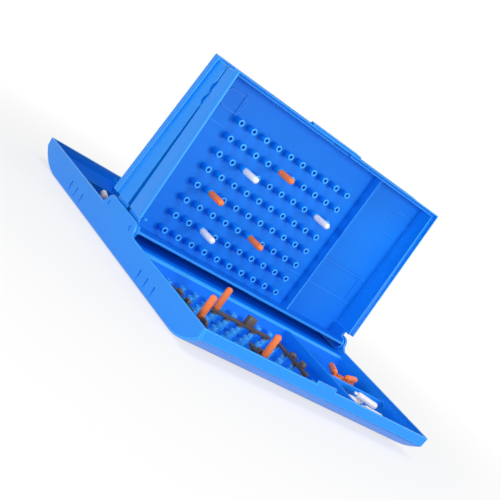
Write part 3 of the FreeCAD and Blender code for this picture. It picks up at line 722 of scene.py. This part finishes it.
def pegPlace(node):
    # a peg's axis runs the way in which its solid's corners spread most, from the pin to the wide end
    points = [vert.co.copy() for vert in nodes[node].data.vertices]
    pairs = ((one, other) for one in points for other in points)
    ends = max(pairs, key=lambda pair: (pair[0] - pair[1]).length)
    middle = sum(points, Vector()) / len(points)
    spread = Matrix(((0, 0, 0), (0, 0, 0), (0, 0, 0)))
    for point in points:
        apart = point - middle
        for i in range(3):
            for j in range(3):
                spread[i][j] += apart[i] * apart[j]
    axis = (ends[0] - ends[1]).normalized()
    for _ in range(peg["axisSteps"]):
        axis = (spread @ axis).normalized()
    heights = [(point - middle).dot(axis) for point in points]
    low = min(heights)
    high = max(heights)
    wide = [height for height, point in zip(heights, points)
            if (point - middle - axis * height).length > peg["wideShare"] * peg["solidRadius"] * mm]
    if sum(wide) / len(wide) < (low + high) / 2:
        axis = -axis
        low = -high
    start = middle + axis * (low + peg["pinLength"] * mm)
    turn = Vector((0, 0, 1)).rotation_difference(axis).to_matrix().to_4x4()
    return Matrix.Translation(start) @ turn


def makePegs():
    shape = pegShape()
    meshes = {slot: meshOf("peg_" + slot, shape) for slot in ("orange_peg", "white_peg")}
    for slot, mesh in meshes.items():
        mesh.materials.append(finishes[slot])
    for node in sorted(nodes):
        slot = slotOf(node)
        if slot not in meshes:
            continue
        piece = addPiece(node + "_turned", meshes[slot], bodyOf[node], slot, pegPlace(node))
        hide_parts(node)


makePegs()
print("pegs made")


# ships, in millimetres from the first hole's axis and the base's underside
ship = {"deckTop": 11.3, "deckThickness": 1.8, "halfWidth": 2.1, "overhang": 3.9, "bow": 3.6, "bowSteps": 5,
        "stern": 1.2, "sternShare": 0.7, "keelInset": 0.4, "bulwark": 0.36, "bulwarkHeight": 0.3,
        "upright": 0.36, "edge": 0.12, "hole": 1.02, "holeSides": 16, "holeDepth": 2.7,
        # share of a hole's radius outside which deck faces are kept, and the least cosine at a corner's inset
        "holeShare": 0.9, "leastCosine": 0.4}
stem = {"radius": 1.85, "edge": 0.1, "overlap": 0.1, "gap": 0.05, "pin": 1.2, "pinLength": 3.3,
        "tipEdge": 0.2, "tipLength": 0.3}
shipCells = {"carrier": 5, "battleship": 4, "cruiser": 3, "submarine": 3, "destroyer": 2}
# place of each ship's cabin in cells from its first hole, its length, width, height and shift sideways
cabins = {"carrier": (2.5, 6.4, 3.4, 6.0, 0.6), "battleship": (2.5, 4.2, 2.6, 3.2, 0.0),
          "cruiser": (1.5, 4.0, 2.4, 2.6, 0.0), "submarine": (0.5, 5.0, 1.8, 2.8, 0.0),
          "destroyer": (0.5, 3.6, 2.4, 2.2, 0.0)}
cabin = {"bulgeShare": 0.08, "bulgeLevel": 0.45, "sink": 0.3,
         "edge": 0.28, "edgeSteps": 2, "edgeProfile": 0.5}
turretPlaces = {"battleship": 1.5, "cruiser": 0.5}
turret = {"radius": 2.0, "height": 2.6, "neckShare": 0.8, "neckHeight": 0.7, "flareHeight": 0.9,
          # (share of the radius, drop from the top) up the rounded crown
          "crown": ((1, 0.7), (0.85, 0.12), (0.72, 0), (0, 0)), "segments": 20}
barrel = {"radius": 0.5, "length": 4.6, "edge": 0.1, "boreShare": 0.5, "boreDepth": 0.8, "spread": 0.75,
          "drop": 1.05, "segments": 12}
# column, row and heading of each ship's first cell: 1 runs along +X, -1 towards the front wall
fleets = {"near": {"carrier": (3, 5, 1), "battleship": (8, 5, -1), "cruiser": (0, 5, -1),
                   "submarine": (0, 2, -1), "destroyer": (4, 2, -1)},
          "far": {"carrier": (2, 2, 1), "battleship": (9, 6, -1), "cruiser": (0, 6, -1),
                  "submarine": (4, 6, 1), "destroyer": (7, 4, -1)}}


def deckOutline(cells):
    stern = -ship["overhang"]
    bow = (cells - 1) * seaGrid["pitch"] + ship["overhang"]
    beam = ship["halfWidth"]
    side = [(bow, 0.0)]
    for step in range(1, ship["bowSteps"] + 1):
        angle = math.pi / 2 * step / ship["bowSteps"]
        side.append((bow - ship["bow"] * (1 - math.cos(angle)), beam * math.sin(angle)))
    side += [(stern + ship["stern"], beam), (stern, beam * ship["sternShare"])]
    return [Vector(point) for point in side] + [Vector((x, -y)) for x, y in reversed(side[1:])]


def insetOutline(outline, distance):
    # the same convex outline moved inwards
    moved = []
    count = len(outline)
    for i in range(count):
        before = (outline[i] - outline[i - 1]).normalized()
        after = (outline[(i + 1) % count] - outline[i]).normalized()
        middle = Vector((-before.y - after.y, before.x + after.x)).normalized()
        reach = distance / max(ship["leastCosine"], middle.dot(Vector((-before.y, before.x))))
        moved.append(outline[i] + middle * reach)
    return moved


def holeRim(hole):
    # the round edge of the hole that stands at this x
    radius = ship["hole"]
    angles = [2 * math.pi * i / ship["holeSides"] for i in range(ship["holeSides"])]
    return [Vector((hole + radius * math.cos(angle), radius * math.sin(angle))) for angle in angles]


def drilledFace(outline, holes, height):
    # flat face inside an outline, with round holes left open
    points = []
    edges = []
    for loop in [outline] + [holeRim(hole) for hole in holes]:
        start = len(points)
        points.extend(loop)
        edges.extend((start + i, start + (i + 1) % len(loop)) for i in range(len(loop)))
    verts, _, faces, _, _, _ = geometry.delaunay_2d_cdt(points, edges, [], 1, joinReach)
    kept = []
    for face in faces:
        middle = sum((verts[corner] for corner in face), Vector((0, 0))) / len(face)
        if all((middle - Vector((hole, 0))).length > ship["holeShare"] * ship["hole"] for hole in holes):
            kept.append(tuple(face))
    return [Vector((vert.x, vert.y, height)) for vert in verts], kept


def wallShape(loops):
    # faces between loops of the same number of points, each loop with its own height
    points = [Vector((spot.x, spot.y, height)) for loop, height in loops for spot in loop]
    count = len(loops[0][0])
    faces = []
    for low in range(0, count * (len(loops) - 1), count):
        high = low + count
        for i in range(count):
            j = (i + 1) % count
            faces.append((low + i, low + j, high + j, high + i))
    return points, faces


def hullShape(cells):
    outline = deckOutline(cells)
    holes = [seaGrid["pitch"] * index for index in range(cells)]
    edge = ship["edge"]
    top = ship["deckTop"]
    deck = top - ship["bulwarkHeight"]
    keel = top - ship["deckThickness"]
    # (inset from the outline, height) from the keel up the side, over the bulwark and down to the deck
    sections = [(ship["keelInset"], keel), (ship["keelInset"] - edge, keel + edge),
                (0, top - ship["upright"]), (0, top - edge), (edge, top),
                (ship["bulwark"] - edge, top), (ship["bulwark"], top - edge), (ship["bulwark"], deck)]
    side = wallShape([(insetOutline(outline, inset), height) for inset, height in sections])
    bores = [wallShape([(holeRim(hole), deck), (holeRim(hole), keel)]) for hole in holes]
    return joined([side] + bores + [drilledFace(insetOutline(outline, ship["keelInset"]), holes, keel),
                                    drilledFace(insetOutline(outline, ship["bulwark"]), holes, deck)])


def stemShape():
    top = ship["deckTop"] - ship["deckThickness"] + stem["overlap"]
    seat = seaGrid["top"] + stem["gap"]
    bottom = ship["deckTop"] - ship["holeDepth"] - ship["bulwarkHeight"]
    foot = seaGrid["top"] - stem["pinLength"]
    radius = stem["radius"]
    pin = stem["pin"]
    outside = [(0, foot), (pin - stem["tipEdge"], foot), (pin, foot + stem["tipLength"]), (pin, seat),
               (radius - stem["edge"], seat), (radius, seat + stem["edge"]), (radius, top)]
    inside = [(ship["hole"], top), (ship["hole"], bottom), (0, bottom)]
    return lathed(outside + inside, ship["holeSides"])


def cabinShape(place, length, width, height, shift):
    x = seaGrid["pitch"] * place
    front = x + length / 2
    back = x - length / 2
    foot = ship["deckTop"] - cabin["sink"]
    top = ship["deckTop"] + height
    brow = (front + length * cabin["bulgeShare"], ship["deckTop"] + height * cabin["bulgeLevel"])
    side = [(back, foot), (front, foot), brow, (front, top), (back, top)]
    points = [Vector((px, shift + half * width / 2, pz)) for half in (-1, 1) for px, pz in side]
    count = len(side)
    faces = [tuple(range(count)), tuple(reversed(range(count, 2 * count)))]
    faces += [((i + 1) % count, i, count + i, count + (i + 1) % count) for i in range(count)]
    return points, faces


def roundedCabin(shape):
    # the plain block with its edges rounded
    points, faces = shape
    form = bmesh.new()
    verts = [form.verts.new(point) for point in points]
    for face in faces:
        form.faces.new([verts[corner] for corner in face])
    bmesh.ops.recalc_face_normals(form, faces=form.faces)
    bmesh.ops.bevel(form, geom=form.edges[:], offset=cabin["edge"], segments=cabin["edgeSteps"],
                    profile=cabin["edgeProfile"], affect="EDGES")
    form.verts.index_update()
    points = [vert.co.copy() for vert in form.verts]
    faces = [tuple(vert.index for vert in face.verts) for face in form.faces]
    form.free()
    return points, faces


def turretShapes(place):
    x = seaGrid["pitch"] * place
    radius = turret["radius"]
    foot = ship["deckTop"] - cabin["sink"]
    top = ship["deckTop"] + turret["height"]
    neck = radius * turret["neckShare"]
    crown = [(radius * share, top - drop) for share, drop in turret["crown"]]
    drum = lathed([(0, foot), (neck, foot), (neck, foot + turret["neckHeight"]),
                   (radius, foot + turret["flareHeight"])] + crown, turret["segments"])
    end = barrel["length"]
    bore = barrel["radius"] * barrel["boreShare"]
    tube = lathed([(0, 0), (barrel["radius"], 0), (barrel["radius"], end - barrel["edge"]),
                   (barrel["radius"] - barrel["edge"], end), (bore, end), (bore, end - barrel["boreDepth"]),
                   (0, end - barrel["boreDepth"])], barrel["segments"])
    level = Matrix.Rotation(math.pi / 2, 4, "Y")
    height = top - barrel["drop"]
    places = [Matrix.Translation((x, side * barrel["spread"], height)) @ level for side in (-1, 1)]
    return [repeated(drum, [Matrix.Translation((x, 0, 0))]), repeated(tube, places)]


def shipShape(name):
    cells = shipCells[name]
    spots = [Matrix.Translation((seaGrid["pitch"] * index, 0, 0)) for index in range(cells)]
    shapes = [hullShape(cells), repeated(stemShape(), spots), roundedCabin(cabinShape(*cabins[name]))]
    if name in turretPlaces:
        shapes.extend(turretShapes(turretPlaces[name]))
    return joined(shapes)


def tidied(mesh):
    # shared corners become one and faces look outwards
    form = bmesh.new()
    form.from_mesh(mesh)
    bmesh.ops.remove_doubles(form, verts=form.verts, dist=joinReach)
    bmesh.ops.recalc_face_normals(form, faces=form.faces)
    form.to_mesh(mesh)
    form.free()
    mesh.set_sharp_from_angle(angle=math.radians(crease))


def makeShips():
    meshes = {}
    for name in shipCells:
        meshes[name] = meshOf("ship_" + name, shipShape(name))
        tidied(meshes[name])
    for side, fleet in fleets.items():
        for name, (column, row, heading) in fleet.items():
            turn = Matrix.Rotation(0 if heading > 0 else -math.pi / 2, 4, "Z")
            spot = Matrix.Translation(trayCell(column, row) * mm)
            node = side + "_" + name
            place = sideTurn(side) @ spot @ turn
            piece = addPiece(node + "_moulded", meshes[name], bodyOf[node], "ship", place)
            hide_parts(node)


makeShips()
print("ships made")
